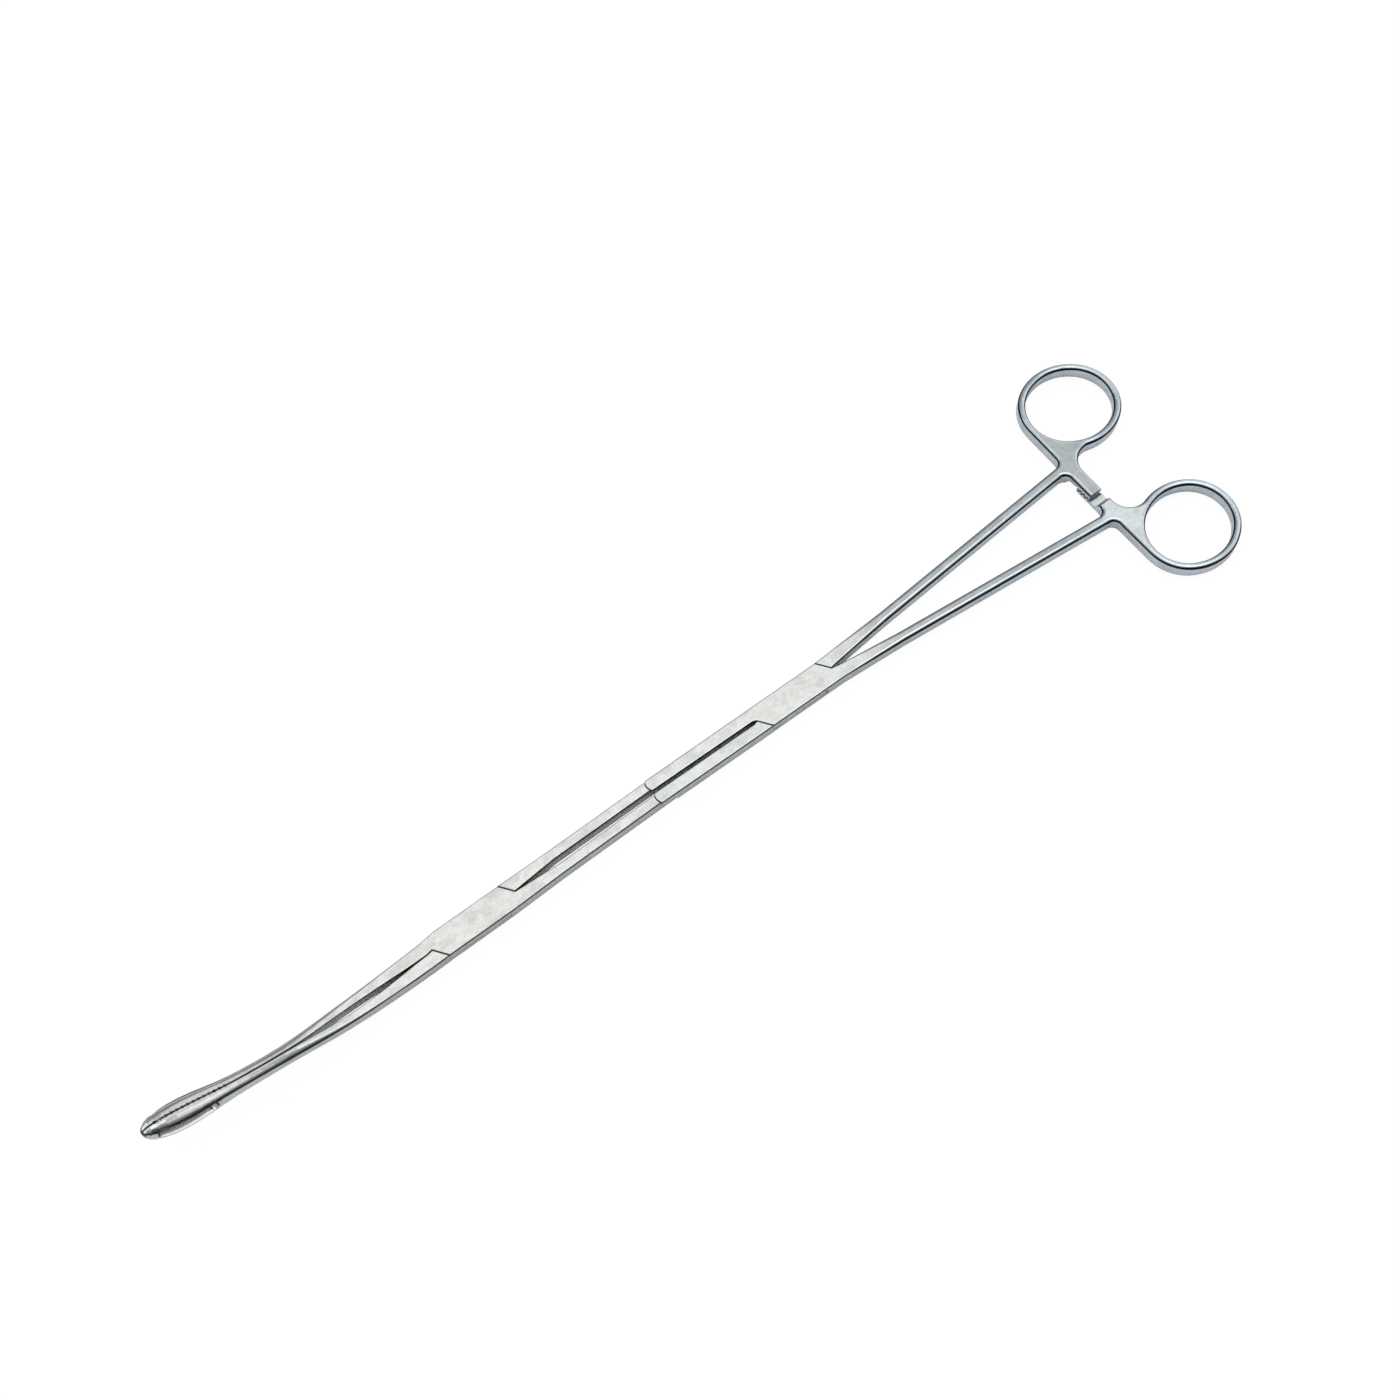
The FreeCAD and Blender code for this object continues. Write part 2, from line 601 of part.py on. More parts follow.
def jaw_teeth(side):
    """Notches across the seam face of a jaw head."""
    pitch = size("JawToothPitch")
    depth = size("JawToothDepth")
    reach = size("JawHeadHeight")
    face = side * size("SeamGap") / 2
    cuts = []
    run = size("JawLength") - size("JawToothBack")
    while run + pitch < size("JawLength") - 1.0:
        spot, heading, up = jaw_spot(run)
        a = spot - heading * (0.42 * pitch) + at(0, face - side * 0.1, 0)
        b = spot + heading * (0.42 * pitch) + at(0, face - side * 0.1, 0)
        c = spot + at(0, face + side * depth, 0)
        cuts.append(flat_face([p - up * reach for p in (a, b, c)]).extrude(up * (2 * reach)))
        run += pitch
    return cuts


def turned(point):
    """A point or direction about the front pin, set over by the turn of the jaws."""
    return FreeCAD.Rotation(at(0, 0, 1), size("JawTurn")).multVec(point)


def jaw(side):
    blank = jaw_blank(side)
    shape = blank.cut([jaw_window(side)] + jaw_teeth(side))
    shape.rotate(FRONT_PIN, at(0, 0, 1), size("JawTurn"))
    return shape


# Levers of the jaw pair

def rear_arm(side):
    """Arm from the front box back to a knuckle, in plan, outer side first."""
    corner, tip, back = tongue_end(side, 1, size("JawArmInner") - 0.1, size("JawArmOuter"))
    run = size("PivotSpacing") - size("KnuckleReach")
    narrow = SEAM_X + 14.0
    wide = CORNER_X + 16.0
    arm_in = at(narrow, side * size("JawArmInner") + size("KnuckleShift") * narrow / run)
    swell = at(wide, side * size("JawArmOuter") + size("KnuckleShift") * wide / run)
    return corner, tip, back, arm_in + FRONT_PIN, swell + FRONT_PIN


def jaw_root(side):
    """Plan of a jaw root, outer side first: two corners at the box, two at the jaw."""
    outer = side * size("JawRootHalfWidth")
    inner = side * size("SeamGap") / 2
    plan = [(ROOT_X, outer), (LAND_X, outer), (LAND_X, inner), (ROOT_X, inner)]
    return [turned(at(-x, y)) + FRONT_PIN for x, y in plan]


def box_jaw_lever():
    """Lower knuckle to the jaw on the +Y side; carries the cheeks of the front box lock."""
    corner, tip, back, arm_in, swell = rear_arm(-1)
    root = jaw_root(1)
    o = FRONT_PIN
    plan = [at(SEAM_X, 0) + o, at(CORNER_X, HALF_BOX) + o, at(-CORNER_X, HALF_BOX) + o] + root + [
            at(-SEAM_X, 0) + o, at(-CORNER_X, -HALF_BOX) + o, at(CORNER_X, -HALF_BOX) + o, swell,
            corner, (tip, back), arm_in]
    body = prism(plan, 0, HEIGHT).cut(lap_cut(-1, 1, True))
    rim = rim_edges(body, [on_plane(root[1], turned(at(1, 0)))])
    body = body.makeFillet(size("EdgeBreak"), rim)
    body = body.cut(slot(o))
    body = body.cut(pin_bore(o, size("BoxPinDiameter"), 0))
    body = body.cut(pin_bore(KNUCKLES[-1], size("KnucklePinDiameter"), size("OpenPivotClearance")))
    return one_solid(body.fuse(jaw(1)))


def tongue_jaw_lever():
    """Upper knuckle to the jaw on the -Y side; its thin waist passes through the front box lock."""
    corner, tip, back, arm_in, swell = rear_arm(1)
    o = FRONT_PIN
    point, edge = shoulder(1)
    rear = prism([point + o, arm_in, back, (tip, corner), swell, edge + o], 0, HEIGHT)
    rear = rear.cut(lap_cut(1, 1, True))
    rear = rear.makeFillet(size("EdgeBreak"), rim_edges(rear, []))
    point, edge = shoulder(-1)
    root = jaw_root(-1)
    front = prism([point + o] + root[::-1] + [edge + o], 0, HEIGHT)
    front = front.makeFillet(size("EdgeBreak"), rim_edges(front, [on_plane(root[1], turned(at(1, 0)))]))
    body = rear.multiFuse([front, waist(o)])
    body = body.cut(pin_bore(o, size("BoxPinDiameter"), size("RunningClearance")))
    body = body.cut(pin_bore(KNUCKLES[1], size("KnucklePinDiameter"), size("RunningClearance")))
    return one_solid(body.fuse(jaw(-1)))


def one_solid(shape):
    shape = shape.removeSplitter()
    if len(shape.Solids) != 1:
        raise ValueError("a lever came out as %d solids" % len(shape.Solids))
    return shape.Solids[0]


def lever(name, shape):
    part = doc.addObject("Part::Feature", name)
    part.Label = name
    part.Shape = shape
    part.Placement = FreeCAD.Placement()
    return part


# Pins, ground flush with both faces

def plane_of(body, role):
    return [f for f in body.Origin.OriginFeatures if f.Role == role][0]


def pin(name, spot, diameter):
    body = doc.addObject("PartDesign::Body", name)
    body.Label = name
    sketch = body.newObject("Sketcher::SketchObject", name + "_circle")
    sketch.AttachmentSupport = (plane_of(body, "XY_Plane"), [""])
    sketch.MapMode = "FlatFace"
    sketch.addGeometry(Part.Circle(at(0, 0), at(0, 0, 1), size(diameter) / 2), False)
    sketch.addConstraint(Sketcher.Constraint("Coincident", 0, 3, -1, 1))
    sketch.addConstraint(Sketcher.Constraint("Diameter", 0, size(diameter)))
    sketch.setExpression("Constraints[1]", "Sizes.%s" % diameter)
    pad = body.newObject("PartDesign::Pad", name + "_pad")
    pad.Profile = sketch
    pad.setExpression("Length", "Sizes.PairThickness")
    body.Tip = pad
    body.Placement = FreeCAD.Placement(spot, FreeCAD.Rotation())
    return body


parts = [
    lever("box_handle_lever", box_handle_lever()),
    lever("tongue_handle_lever", tongue_handle_lever()),
    lever("tongue_jaw_lever", tongue_jaw_lever()),
    lever("box_jaw_lever", box_jaw_lever()),
    pin("rear_box_pin", at(0, 0), "BoxPinDiameter"),
    pin("front_box_pin", FRONT_PIN, "BoxPinDiameter"),
    pin("upper_knuckle_pin", KNUCKLES[1], "KnucklePinDiameter"),
    pin("lower_knuckle_pin", KNUCKLES[-1], "KnucklePinDiameter"),
]
doc.recompute()

for item in doc.Objects:
    if "Invalid" in item.State or "Error" in item.State:
        raise ValueError("%s did not compute" % item.Label)
os.makedirs("parts", exist_ok=True)
for part in parts:
    shape = part.Shape
    if shape.isNull() or not shape.isValid() or len(shape.Solids) != 1:
        raise ValueError("%s is not one valid solid" % part.Label)
    shape.exportStep("parts/%s.step" % part.Label)
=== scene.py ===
"""Looks of the double-action tunneling forceps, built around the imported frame."""
import logging
import math
from dataclasses import dataclass, field
from enum import Enum

import bmesh
import bpy
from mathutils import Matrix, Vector

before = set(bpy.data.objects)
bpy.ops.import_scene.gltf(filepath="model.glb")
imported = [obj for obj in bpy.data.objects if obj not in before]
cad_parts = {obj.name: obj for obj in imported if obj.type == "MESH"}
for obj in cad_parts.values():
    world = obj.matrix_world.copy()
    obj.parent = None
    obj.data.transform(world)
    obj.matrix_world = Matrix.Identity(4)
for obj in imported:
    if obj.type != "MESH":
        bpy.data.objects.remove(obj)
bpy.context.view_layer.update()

log = logging.getLogger("forceps")

Colour = tuple[float, float, float]
Span = tuple[float, float]
Socket = bpy.types.NodeSocket

WHITE: Colour = (1.0, 1.0, 1.0)
RISING: Span = (0.0, 1.0)
FALLING: Span = (1.0, 0.0)
NOISE: Span = (0.3, 0.7)
UP = Vector((0.0, 0.0, 1.0))


class Join(Enum):
    """How two values are combined."""

    ADD = "ADD"
    LESS = "SUBTRACT"
    TIMES = "MULTIPLY"
    GREATER = "MAXIMUM"


class Layer(Enum):
    """How one colour lies over another."""

    COVER = "MIX"
    TINT = "MULTIPLY"


class Nodes:
    """Short hand for building the node tree of a material or of the surround."""

    def __init__(self, owner: bpy.types.Material | bpy.types.World) -> None:
        """Clear the tree of its owner and keep it.

        Args:
            owner: The material or world whose nodes are built.
        """
        owner.use_nodes = True
        self.tree = owner.node_tree
        self.tree.nodes.clear()

    def add(self, kind: str, **settings: object) -> bpy.types.Node:
        """Add a node and give its properties and input values.

        Args:
            kind: The node's type name.
            **settings: Properties of the node, or values by socket name with blanks as
                underscores.

        Returns:
            The new node.
        """
        node = self.tree.nodes.new(kind)
        for key, value in settings.items():
            if hasattr(node, key):
                setattr(node, key, value)
            else:
                node.inputs[key.replace("_", " ")].default_value = value
        return node

    def link(self, source: Socket, target: Socket) -> None:
        """Join an output to an input."""
        self.tree.links.new(source, target)

    def feed(self, value: Socket | float | Colour, target: Socket) -> None:
        """Give an input its value, from a socket, a number or a colour.

        Args:
            value: What the input gets.
            target: The input.
        """
        if isinstance(value, bpy.types.NodeSocket):
            self.link(value, target)
        elif isinstance(value, tuple):
            target.default_value = (*value, 1.0)
        else:
            target.default_value = value

    def ramp(self, source: Socket, span: Span, result: Span = RISING) -> Socket:
        """Turn one range of a value smoothly into another.

        Args:
            source: The value.
            span: The two values between which it is turned.
            result: What it becomes at the first and at the second of them.

        Returns:
            The result's socket.
        """
        node = self.tree.nodes.new("ShaderNodeMapRange")
        node.interpolation_type = "SMOOTHSTEP"
        for name, value in zip(("From Min", "From Max", "To Min", "To Max"), (*span, *result)):
            node.inputs[name].default_value = value
        self.link(source, node.inputs["Value"])
        return node.outputs["Result"]

    def band(self, source: Socket, low: Span, high: Span) -> Socket:
        """Tell where a value lies between two soft limits.

        Args:
            source: The value.
            low: Where the band begins and is full.
            high: Where it begins to end and is gone.

        Returns:
            The band's socket, 0 to 1.
        """
        return self.join(self.ramp(source, low), self.ramp(source, high, FALLING), Join.TIMES)

    def join(self, first: Socket, second: Socket | float, how: Join = Join.ADD) -> Socket:
        """Combine two values.

        Args:
            first: The first value.
            second: The second one, from a socket or fixed.
            how: The way they are combined.

        Returns:
            The result's socket.
        """
        node = self.add("ShaderNodeMath", operation=how.value)
        self.link(first, node.inputs[0])
        self.feed(second, node.inputs[1])
        return node.outputs[0]

    def magnitude(self, source: Socket) -> Socket:
        """Drop the sign of a value and return the result's socket."""
        node = self.add("ShaderNodeMath", operation="ABSOLUTE")
        self.link(source, node.inputs[0])
        return node.outputs[0]

    def reach(self, source: Socket, way: Vector) -> Socket:
        """Tell how far a vector reaches in a direction.

        Args:
            source: The vector.
            way: The direction, one unit long.

        Returns:
            The result's socket.
        """
        node = self.add("ShaderNodeVectorMath", operation="DOT_PRODUCT")
        self.link(source, node.inputs[0])
        node.inputs[1].default_value = way
        return node.outputs["Value"]

    def blend(self, share: float | Socket, first: Colour | Socket, second: Colour | Socket,
              how: Layer = Layer.COVER) -> Socket:
        """Lay one colour over another.

        Args:
            share: How much of the second colour shows, fixed or from a socket.
            first: Colour, or a socket that carries one, at share 0.
            second: The same at share 1.
            how: The way it lies over the first.

        Returns:
            The resulting colour's socket.
        """
        node = self.add("ShaderNodeMix", data_type="RGBA", blend_type=how.value)
        for place, value in ((0, share), (6, first), (7, second)):
            self.feed(value, node.inputs[place])
        return node.outputs[2]

    def grey(self, tone: Socket) -> Socket:
        """Turn a value into a grey colour and return that colour's socket."""
        node = self.add("ShaderNodeCombineXYZ")
        for part in node.inputs:
            self.link(tone, part)
        return node.outputs[0]

    def noise(self, place: Socket, waves: tuple[float, float, float], detail: float) -> Socket:
        """Make a noise over the object, with its own scale along each axis.

        Args:
            place: Object coordinates.
            waves: Waves for each metre along X, Y and Z.
            detail: How many finer octaves it has.

        Returns:
            The noise's socket, mostly within NOISE.
        """
        mapping = self.add("ShaderNodeMapping", Scale=waves)
        self.link(place, mapping.inputs["Vector"])
        texture = self.add("ShaderNodeTexNoise", Scale=1.0, Detail=detail, Roughness=0.6)
        self.link(mapping.outputs["Vector"], texture.inputs["Vector"])
        return texture.outputs["Fac"]


class Survey:
    """What a finish reads from a piece: places, slopes and patterns, each as a socket."""

    def __init__(self, n: Nodes, flat_slope: Span, side_slope: Span) -> None:
        """Add the nodes that read the piece.

        Args:
            n: The node tree being built.
            flat_slope: Upward part of the normal where a flat begins and is full.
            side_slope: Upward part of the normal where a side is full and where it ends.
        """
        piece = n.add("ShaderNodeTexCoord")
        facing = n.add("ShaderNodeSeparateXYZ")
        n.link(piece.outputs["Normal"], facing.inputs[0])
        spot = n.add("ShaderNodeSeparateXYZ")
        self.place: Socket = piece.outputs["Object"]
        n.link(self.place, spot.inputs[0])
        self.along: Socket = spot.outputs["X"]
        self.height: Socket = spot.outputs["Z"]
        self.upward: Socket = n.magnitude(facing.outputs["Z"])
        self.flat: Socket = n.ramp(self.upward, flat_slope)
        self.side: Socket = n.ramp(self.upward, side_slope, FALLING)
        self.cloud: Socket = n.noise(self.place, (300.0, 420.0, 420.0), 5.0)
        self.grain: Socket = n.noise(self.place, (260.0, 5200.0, 5200.0), 3.0)
        self.speck: Socket = n.noise(self.place, (2600.0, 2600.0, 2600.0), 2.0)
        self.smear: Socket = n.noise(self.place, (110.0, 190.0, 190.0), 3.0)


@dataclass(frozen=True)
class EdgeReflection:
    """Painted reflection: the dark line of the polished roundings under the top edges of the
    straight levers.

    Attributes:
        low: Heights where the line begins and is full, in metres.
        high: Heights where it begins to end and is gone.
        start: Where it fades in behind the curve of the jaws, along X in metres.
    """

    low: Span = (0.00395, 0.00415)
    high: Span = (0.00450, 0.00462)
    start: Span = (-0.138, -0.130)

    def mask(self, n: Nodes, seen: Survey) -> Socket:
        """Tell where the painted reflection shows.

        Args:
            n: The node tree being built.
            seen: What was read from the piece.

        Returns:
            A socket that is 1 on the line.
        """
        return n.join(n.band(seen.height, self.low, self.high),
                      n.ramp(seen.along, self.start), Join.TIMES)


@dataclass(frozen=True)
class SeamShade:
    """Painted shade: a dark edge along the seam of the closed jaws, where the gap between them
    lies in shade.

    Attributes:
        turn: How far the closed jaws are set over, in degrees.
        pivot: Where the front box pin stands, along X in metres.
        width: Distance from the seam where the edge is full and where it is gone.
        end: Where it is full and where it is gone toward the box, along X in metres.
        slope: Upward part of the normal where it begins and is full, so that the faces that
            meet stay bright.
    """

    turn: float = 1.3
    pivot: float = -0.1099
    width: Span = (0.00008, 0.00042)
    end: Span = (-0.168, -0.150)
    slope: Span = (0.40, 0.65)

    def mask(self, n: Nodes, seen: Survey) -> Socket:
        """Tell where the painted shade shows.

        Args:
            n: The node tree being built.
            seen: What was read from the piece.

        Returns:
            A socket that is 1 on the edge.
        """
        sine, cosine = math.sin(math.radians(self.turn)), math.cos(math.radians(self.turn))
        across = n.reach(seen.place, Vector((-sine, cosine, 0.0)))
        off = n.magnitude(n.join(across, -self.pivot * sine, Join.LESS))
        near = n.join(n.ramp(off, self.width, FALLING),
                      n.ramp(seen.along, self.end, FALLING), Join.TIMES)
        return n.join(near, n.ramp(seen.upward, self.slope), Join.TIMES)


@dataclass(frozen=True)
class SteelFinish:
    """Stainless steel with matt ground flats, polished roundings and satin sides.

    Attributes:
        name: Material name.
        flat: Colour of the ground flats.
        bend: Colour of the polished roundings.
        side: Colour of the satin sides.
        flat_rough: Roughness of the ground flats.
        bend_rough: Roughness of the roundings.
        side_rough: Roughness of the sides.
        uneven_rough: How much the fine lines lower and raise the roughness.
        flat_slope: Upward part of the normal where a flat begins and is full.
        side_slope: Upward part of the normal where a side is full and where it ends.
        dark_reflection: Colour of the painted dark reflection along roundings that stand at a
            slant.
        dark_reflection_low: Upward part of the normal where that painted reflection begins and is
            full.
        dark_reflection_high: Upward part where it begins to end and is gone.
        satin: Colour of the flats along the shanks.
        satin_from: Where that colour begins and is full, along X in metres.
        satin_to: Where it begins to end and is gone.
        cool: Bluish tint of the shanks and rings.
        cool_from: Where that tint begins and is full, along X in metres.
        cool_side: Colour of the satin sides there.
        mottle: Strength of the cloudy variation in tone.
        mottle_span: Sum of both noises where the tone is darkest and where it is brightest.
        stain: Tone of the wiping marks on the flats, 1 leaves none.
        stain_span: Noise where a wiping mark begins and is full.
        scratch: Height of the fine polishing lines, in metres.
        scratch_strength: How strongly they turn the light.
        side_relief: Share of the fine relief that the sides keep.
        dark: Colour of the painted dark lines: painted reflection under the top edges, painted
            shade along the jaw seam.
        edge: The painted dark reflection under the top edges.
        seam: The painted shade along the seam, on the jaws alone.
    """

    name: str
    flat: Colour = (0.735, 0.74, 0.715)
    bend: Colour = (0.56, 0.60, 0.63)
    side: Colour = (0.67, 0.695, 0.66)
    flat_rough: float = 0.38
    bend_rough: float = 0.13
    side_rough: float = 0.34
    uneven_rough: Span = (-0.04, 0.06)
    flat_slope: Span = (0.994, 0.9995)
    side_slope: Span = (0.05, 0.30)
    # A painted dark reflection on slanted roundings, wherever it differs from bend.
    dark_reflection: Colour = (0.56, 0.60, 0.63)
    dark_reflection_low: Span = (0.30, 0.45)
    dark_reflection_high: Span = (0.72, 0.86)
    satin: Colour = (0.735, 0.74, 0.715)
    satin_from: Span = (0.018, 0.040)
    satin_to: Span = (0.100, 0.108)
    cool: Colour = (0.92, 0.965, 1.0)
    cool_from: Span = (0.02, 0.08)
    cool_side: Colour = (0.76, 0.78, 0.80)
    mottle: float = 0.18
    mottle_span: Span = (0.75, 1.25)
    stain: float = 0.90
    stain_span: Span = (0.50, 0.58)
    scratch: float = 0.000010
    scratch_strength: float = 0.35
    side_relief: float = 0.15
    # Colour of the painted reflection under the top edges and of the painted shade along the jaw
    # seam.
    dark: Colour = (0.018, 0.019, 0.020)
    # Painted dark reflection under the top edges.
    edge: EdgeReflection = EdgeReflection()
    # Painted shade along the seam of the closed jaws, on the jaws alone.
    seam: SeamShade | None = None

    def base(self, n: Nodes, seen: Survey) -> Socket:
        """Mix the colours of flats, roundings and sides, with painted dark reflections and
        painted shade over them.

        Args:
            n: The node tree being built.
            seen: What was read from the piece.

        Returns:
            The colour's socket.
        """
        shank_band = n.band(seen.along, self.satin_from, self.satin_to)
        # slant: roundings that stand at a slant, where the colour turns to a painted dark
        # reflection.
        slant = n.band(seen.upward, self.dark_reflection_low, self.dark_reflection_high)
        # How far along X, toward the rings, the bluish tint and the lighter sides reach.
        finer = n.ramp(seen.along, self.cool_from)
        top = n.blend(seen.flat, n.blend(slant, self.bend, self.dark_reflection),
                      n.blend(shank_band, self.flat, self.satin))
        steel = n.blend(seen.side, top, n.blend(finer, self.side, self.cool_side))
        steel = n.blend(1.0, steel, n.blend(finer, WHITE, self.cool), Layer.TINT)
        # Painted dark lines: a reflection under the top edges and, on the jaws, shade along the
        # seam.
        lines = self.edge.mask(n, seen)
        if self.seam:
            lines = n.join(lines, self.seam.mask(n, seen), Join.GREATER)
        return n.blend(lines, steel, self.dark)

    def tone(self, n: Nodes, seen: Survey) -> Socket:
        """Vary the tone by clouds, specks and wiping marks.

        Args:
            n: The node tree being built.
            seen: What was read from the piece.

        Returns:
            The socket of a factor up to 1.
        """
        clouds = n.ramp(n.join(seen.cloud, seen.speck), self.mottle_span,
                        (1.0 - self.mottle, 1.0))
        wiped = n.join(n.ramp(seen.smear, self.stain_span), seen.flat, Join.TIMES)
        return n.join(clouds, n.ramp(wiped, RISING, (1.0, self.stain)), Join.TIMES)

    def roughness(self, n: Nodes, seen: Survey) -> Socket:
        """Make flats and sides rougher than the roundings, and all of them uneven.

        Args:
            n: The node tree being built.
            seen: What was read from the piece.

        Returns:
            The roughness's socket.
        """
        rough = n.join(n.ramp(seen.flat, RISING, (self.bend_rough, self.flat_rough)),
                       n.ramp(seen.side, RISING, (0.0, self.side_rough - self.bend_rough)))
        return n.join(rough, n.ramp(seen.grain, NOISE, self.uneven_rough))

    def relief(self, n: Nodes, seen: Survey) -> Socket:
        """Lay fine lines along the piece, with specks on the flats and calmer sides.

        Args:
            n: The node tree being built.
            seen: What was read from the piece.

        Returns:
            The socket of the turned normal.
        """
        lines = n.join(seen.grain, n.join(seen.speck, seen.flat, Join.TIMES))
        calm = n.ramp(seen.side, RISING, (1.0, self.side_relief))
        bump = n.add("ShaderNodeBump", Strength=self.scratch_strength, Distance=self.scratch)
        n.link(n.join(lines, calm, Join.TIMES), bump.inputs["Height"])
        return bump.outputs["Normal"]

    def build(self) -> bpy.types.Material:
        """Build the material.

        Returns:
            The material, ready for a slot.
        """
        material = bpy.data.materials.new(self.name)
        n = Nodes(material)
        seen = Survey(n, self.flat_slope, self.side_slope)
        shader = n.add("ShaderNodeBsdfPrincipled", Metallic=1.0)
        out = n.add("ShaderNodeOutputMaterial")
        shade = n.grey(self.tone(n, seen))
        colour = n.blend(1.0, self.base(n, seen), shade, Layer.TINT)
        n.link(colour, shader.inputs["Base Color"])
        n.link(self.roughness(n, seen), shader.inputs["Roughness"])
        n.link(self.relief(n, seen), shader.inputs["Normal"])
        n.link(shader.outputs["BSDF"], out.inputs["Surface"])
        return material


def dress(node: str, material: bpy.types.Material) -> None:
    """Give a carried-over piece its material in every slot.

    Args:
        node: Name of the piece.
        material: The material it gets.
    """
    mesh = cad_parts[node].data
    mesh.materials.clear()
    mesh.materials.append(material)
    log.info("%s: %s, %d faces", node, material.name, len(mesh.polygons))


@dataclass
class HandlePair:
    """Two ring handles that cross in the rear box lock.

    Attributes:
        satin: Colour of the flats along both shanks, darker than the other flats.
        dark_reflection: Colour of the painted dark reflection along the roundings of shanks and
            rings.
        neck_end: Where that colour ends on the first handle: past its ring.
    """

    satin: Colour = (0.50, 0.505, 0.49)
    # A painted dark reflection along the roundings of shanks and rings.
    dark_reflection: Colour = (0.17, 0.185, 0.20)
    neck_end: Span = (0.30, 0.31)

    def build(self) -> None:
        """Dress both levers; the first ring's neck gets the same flat colour as its shank."""
        second = SteelFinish("second_ring_steel", satin=self.satin, dark_reflection=self.dark_reflection)
        first = SteelFinish("first_ring_steel", satin=self.satin, dark_reflection=self.dark_reflection,
                            satin_to=self.neck_end)
        dress("box_handle_lever", second.build())
        dress("tongue_handle_lever", first.build())


@dataclass
class JawPair:
    """Two upcurved jaws that cross in the front box lock."""

    levers: tuple[str, ...] = ("tongue_jaw_lever", "box_jaw_lever")
    finish: SteelFinish = SteelFinish(
        "jaw_steel", bend=(0.60, 0.60, 0.59), flat_slope=(0.93, 0.985),
        # A painted dark reflection along jaw roundings that stand at a slant.
        dark_reflection=(0.035, 0.04, 0.045), dark_reflection_low=(0.38, 0.48), dark_reflection_high=(0.60, 0.76),
        # Painted shade along the seam of the closed jaws.
        seam=SeamShade())

    def build(self) -> None:
        """Dress both levers."""
        material = self.finish.build()
        for lever in self.levers:
            dress(lever, material)


@dataclass
class PinSet:
    """Four pins ground flush with the levers."""

    pins: tuple[str, ...] = ("rear_box_pin", "front_box_pin",
                             "upper_knuckle_pin", "lower_knuckle_pin")
    finish: SteelFinish = SteelFinish("pin_steel", flat=(0.71, 0.715, 0.69))

    def build(self) -> None:
        """Dress the pins."""
        material = self.finish.build()
        for pin in self.pins:
            dress(pin, material)


@dataclass
class Viewpoint:
    """Where the photograph was taken from, in metres and degrees, in the object's frame.

    Attributes:
        azimuth: Turn about the object, from its -Y side.
        elevation: Height above the floor.
        target: Point that the camera looks at.
        distance: From that point to the camera.
        focal: Focal length, in pixels of the picture.
        picture: Width of the picture, in pixels.
        sensor: Width of the sensor, in millimetres.
        clip: Nearest and farthest distance that the camera sees.
    """

    azimuth: float = -37.6
    elevation: float = 64.67
    target: Vector = field(default_factory=lambda: Vector((-0.02079, 0.01654, 0.0)))
    distance: float = 0.56817
    focal: float = 2000.0
    picture: float = 1400.0
    sensor: float = 36.0
    clip: Span = (0.01, 20.0)

    def build(self) -> None:
        """Make the camera and hand it to the scene."""
        a, e = math.radians(self.azimuth), math.radians(self.elevation)
        back = Vector((math.sin(a) * math.cos(e), -math.cos(a) * math.cos(e), math.sin(e)))
        data = bpy.data.cameras.new("photo_camera")
        data.sensor_width = self.sensor
        data.lens = self.focal / self.picture * self.sensor
        data.clip_start, data.clip_end = self.clip
        camera = bpy.data.objects.new("photo_camera", data)
        camera.location = self.target + back * self.distance
        camera.rotation_mode = "QUATERNION"
        camera.rotation_quaternion = (-back).to_track_quat("-Z", "Y")
        bpy.context.scene.collection.objects.link(camera)
        bpy.context.scene.camera = camera


@dataclass(frozen=True)
class Panel:
    """A patch of the surround that is brighter or darker than the rest.

    Attributes:
        way: Direction of its middle, seen from the object.
        edge: Cosines of the angles where it begins to show and is full.
        level: Its colour.
    """

    way: tuple[float, float, float]
    edge: Span
    level: Colour


@dataclass(frozen=True)
class SoftLight:
    """A broad square light that looks at the object.

    Attributes:
        name: Name of the light.
        spot: Where it hangs, in metres.
        side: Length of its sides, in metres.
        power: Its power, in watts.
        aim: The point that it looks at.
    """

    name: str
    spot: tuple[float, float, float]
    side: float
    power: float
    aim: tuple[float, float, float] = (-0.03, 0.0, 0.0)

    def hang(self) -> None:
        """Make the light and turn it to its aim."""
        data = bpy.data.lights.new(self.name, "AREA")
        data.shape = "RECTANGLE"
        data.size = data.size_y = self.side
        data.energy = self.power
        lamp = bpy.data.objects.new(self.name, data)
        lamp.location = self.spot
        lamp.rotation_mode = "QUATERNION"
        lamp.rotation_quaternion = (Vector(self.aim) - Vector(self.spot)).to_track_quat("-Z", "Y")
        bpy.context.scene.collection.objects.link(lamp)


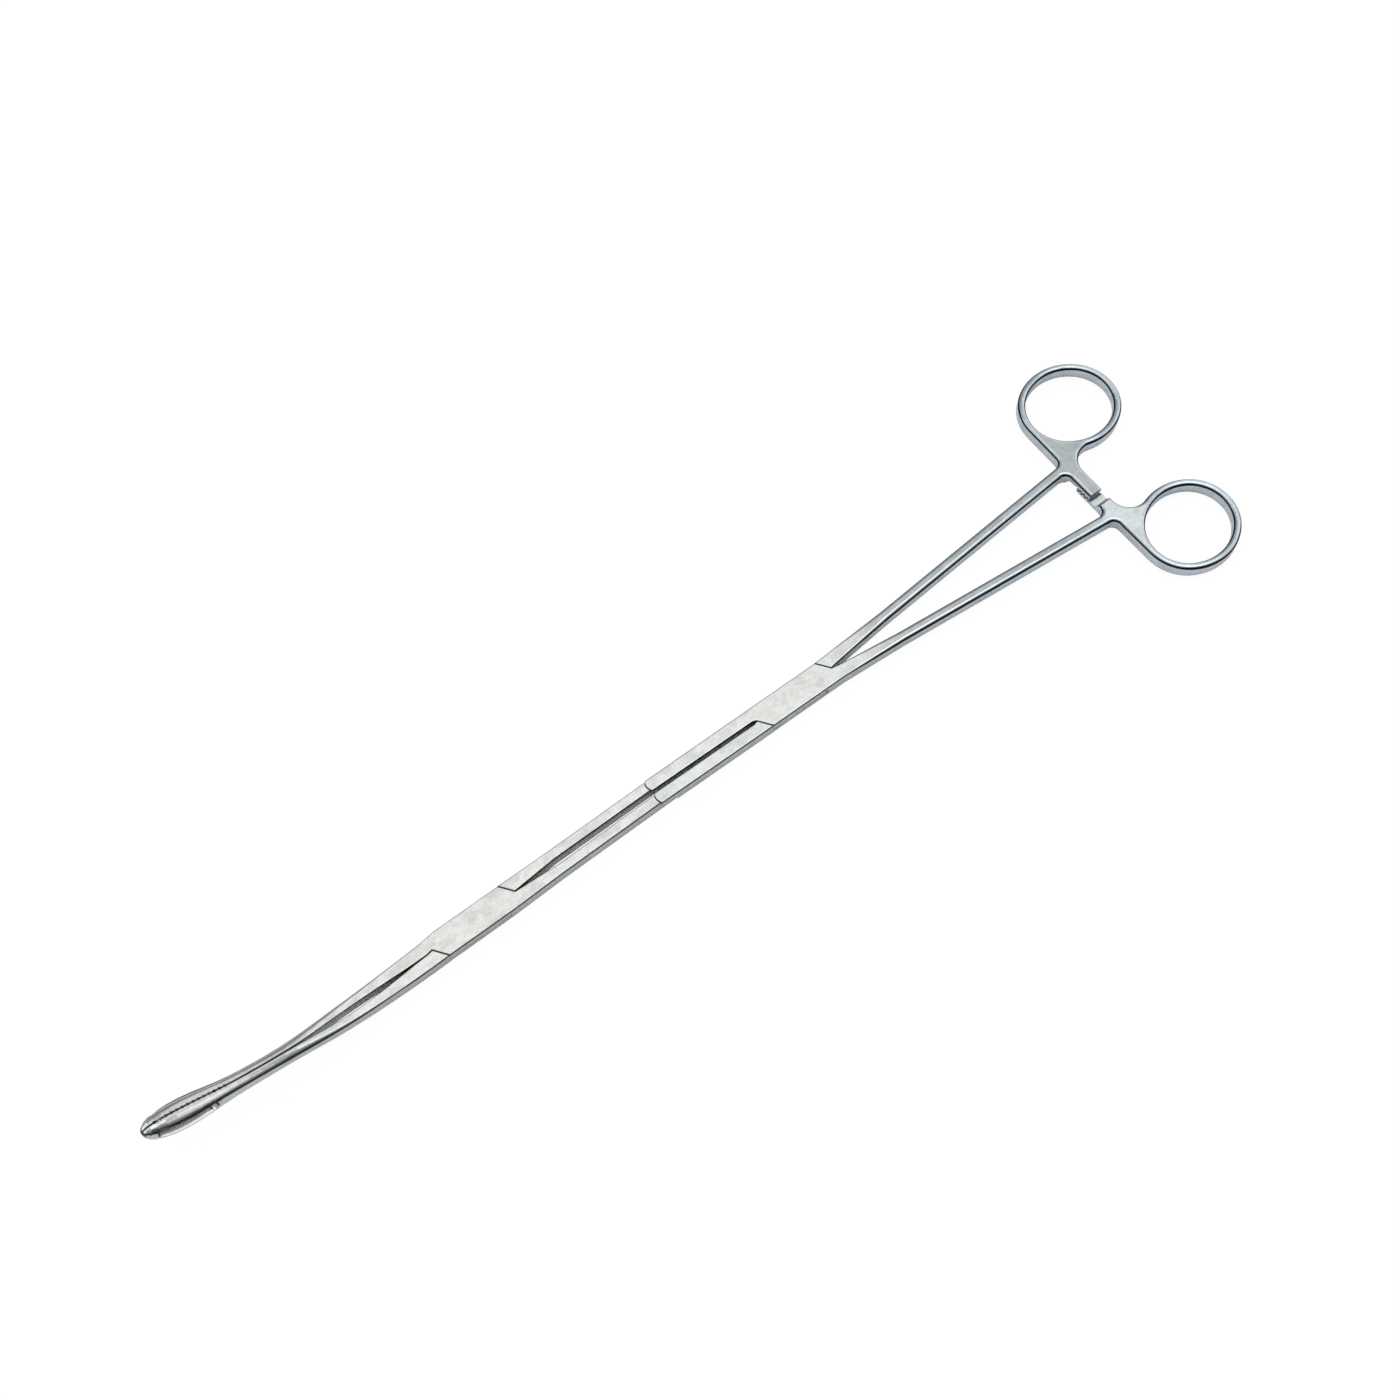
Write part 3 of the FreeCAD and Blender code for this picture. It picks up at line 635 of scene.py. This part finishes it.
@dataclass
class Studio:
    """Pale floor, a surround of bright and dark panels for the steel, and two soft lights.

    Attributes:
        floor_radius: Radius of the round floor, in metres.
        floor_corners: Number of its corners.
        floor_drop: How far it lies below the object, in metres.
        floor_colour: Its matt colour.
        floor_lift: How much of the glow the camera sees in place of that colour.
        floor_glow: Strength of the glow.
        horizon: Colour of the surround low down.
        upper: Colour of the surround overhead.
        sky_rise: Height where the first begins to turn into the second, and where it has.
        panels: Brighter and darker patches of the surround.
        lights: The soft lights.
    """

    floor_radius: float = 2.5
    floor_corners: int = 96
    floor_drop: float = 0.00005
    floor_colour: Colour = (0.90, 0.90, 0.90)
    floor_lift: float = 0.90
    floor_glow: float = 1.04
    horizon: Colour = (0.32, 0.34, 0.36)
    upper: Colour = (0.56, 0.58, 0.60)
    sky_rise: Span = (0.15, 0.90)
    panels: tuple[Panel, ...] = (
        Panel((0.85, 0.30, 0.42), (0.80, 0.95), (1.15, 1.15, 1.14)),
        Panel((-0.90, 0.35, 0.25), (0.80, 0.96), (1.40, 1.43, 1.48)),
        Panel((0.06, 0.10, 0.99), (0.85, 0.985), (1.42, 1.42, 1.40)),
        Panel((0.26, -0.05, 0.96), (0.955, 0.985), (2.30, 2.32, 2.36)),
        Panel((-0.10, -0.90, 0.42), (0.74, 0.93), (0.10, 0.11, 0.12)),
    )
    lights: tuple[SoftLight, ...] = (
        SoftLight("key_light", (-1.1, 1.0, 1.1), 1.2, 4.0),
        SoftLight("fill_light", (1.2, -0.5, 0.9), 1.0, 2.0),
    )

    def floor_finish(self) -> bpy.types.Material:
        """Make the floor matt for the light, and nearly white for the camera.

        Returns:
            The floor's material.
        """
        material = bpy.data.materials.new("floor_white")
        n = Nodes(material)
        matt = n.add("ShaderNodeBsdfDiffuse", Color=(*self.floor_colour, 1.0))
        glow = n.add("ShaderNodeEmission", Color=(*WHITE, 1.0), Strength=self.floor_glow)
        rays = n.add("ShaderNodeLightPath")
        mix = n.add("ShaderNodeMixShader")
        out = n.add("ShaderNodeOutputMaterial")
        n.link(n.join(rays.outputs["Is Camera Ray"], self.floor_lift, Join.TIMES), mix.inputs[0])
        n.link(matt.outputs[0], mix.inputs[1])
        n.link(glow.outputs[0], mix.inputs[2])
        n.link(mix.outputs[0], out.inputs["Surface"])
        return material

    def floor(self) -> None:
        """Lay the floor just under the object."""
        mesh = bpy.data.meshes.new("floor")
        shape = bmesh.new()
        bmesh.ops.create_circle(shape, cap_ends=True, segments=self.floor_corners,
                                radius=self.floor_radius)
        bmesh.ops.translate(shape, verts=shape.verts, vec=(0.0, 0.0, -self.floor_drop))
        shape.to_mesh(mesh)
        shape.free()
        mesh.materials.append(self.floor_finish())
        floor = bpy.data.objects.new("floor", mesh)
        bpy.context.scene.collection.objects.link(floor)

    def surround(self) -> None:
        """Make the surround: grey low down, brighter overhead, and white to the camera."""
        world = bpy.data.worlds.new("studio")
        bpy.context.scene.world = world
        n = Nodes(world)
        way = n.add("ShaderNodeTexCoord").outputs["Generated"]
        sky = n.blend(n.ramp(n.reach(way, UP), self.sky_rise), self.horizon, self.upper)
        for panel in self.panels:
            toward = n.reach(way, Vector(panel.way).normalized())
            sky = n.blend(n.ramp(toward, panel.edge), sky, panel.level)
        rays = n.add("ShaderNodeLightPath")
        light = n.add("ShaderNodeBackground", Strength=1.0)
        out = n.add("ShaderNodeOutputWorld")
        n.link(n.blend(rays.outputs["Is Camera Ray"], sky, WHITE), light.inputs["Color"])
        n.link(light.outputs[0], out.inputs["Surface"])

    def build(self) -> None:
        """Set up floor, surround and lights."""
        self.floor()
        self.surround()
        for light in self.lights:
            light.hang()


def main() -> None:
    """Dress the sub-assemblies in order, then set up the studio and the camera."""
    logging.basicConfig(level=logging.INFO)
    for assembly in (HandlePair(), JawPair(), PinSet(), Studio(), Viewpoint()):
        assembly.build()
        log.info("%s done", type(assembly).__name__)
    bpy.context.scene.view_settings.view_transform = "Standard"


if __name__ == "__main__":
    main()
